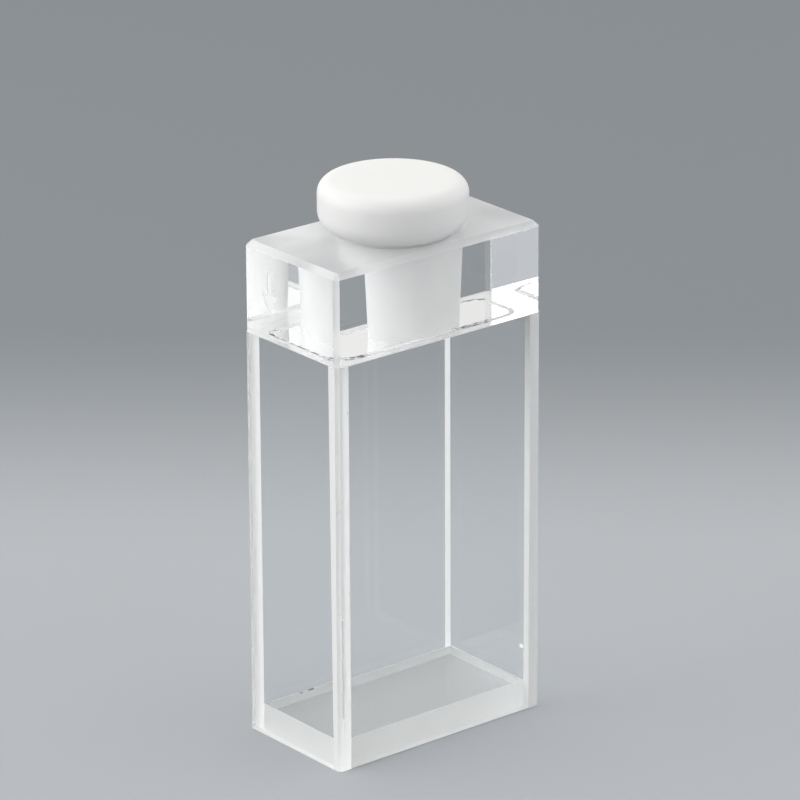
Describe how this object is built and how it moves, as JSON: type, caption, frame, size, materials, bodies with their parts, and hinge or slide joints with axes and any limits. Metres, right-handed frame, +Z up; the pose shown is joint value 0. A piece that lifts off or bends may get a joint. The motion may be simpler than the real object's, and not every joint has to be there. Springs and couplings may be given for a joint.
{
  "type": "stoppered cuvette",
  "caption": "Clear quartz optical cell with polished windows on all sides, a bored neck block and a tapered white stopper that lifts out.",
  "frame": {"origin": "centre of the underside, on the surface that the cell stands on", "axes": "+Z up along the stopper, X along the long light path, Y along the short light path; the front window faces -Y"},
  "size_m": [0.0226, 0.013, 0.0498],
  "materials": {
    "window_quartz": "clear fused quartz, polished faces, edges fine-ground and fused white",
    "base_quartz": "clear fused quartz, polished floor, ground underside",
    "neck_quartz": "clear fused quartz, polished sides, ground top, chamfers and bore",
    "stopper_plastic": "turned white fluoropolymer with a soft satin surface"
  },
  "bodies": {
    "cell": {"front_window": "window_quartz", "back_window": "window_quartz", "left_window": "window_quartz", "right_window": "window_quartz", "base_plate": "base_quartz", "neck_block": "neck_quartz"},
    "plug": {"stopper": "stopper_plastic"}
  },
  "joints": [
    {"name": "stopper_lift", "type": "slide", "parent": "cell", "child": "plug", "axis": [0, 0, 1], "range_m": [0, 0.012]}
  ]
}
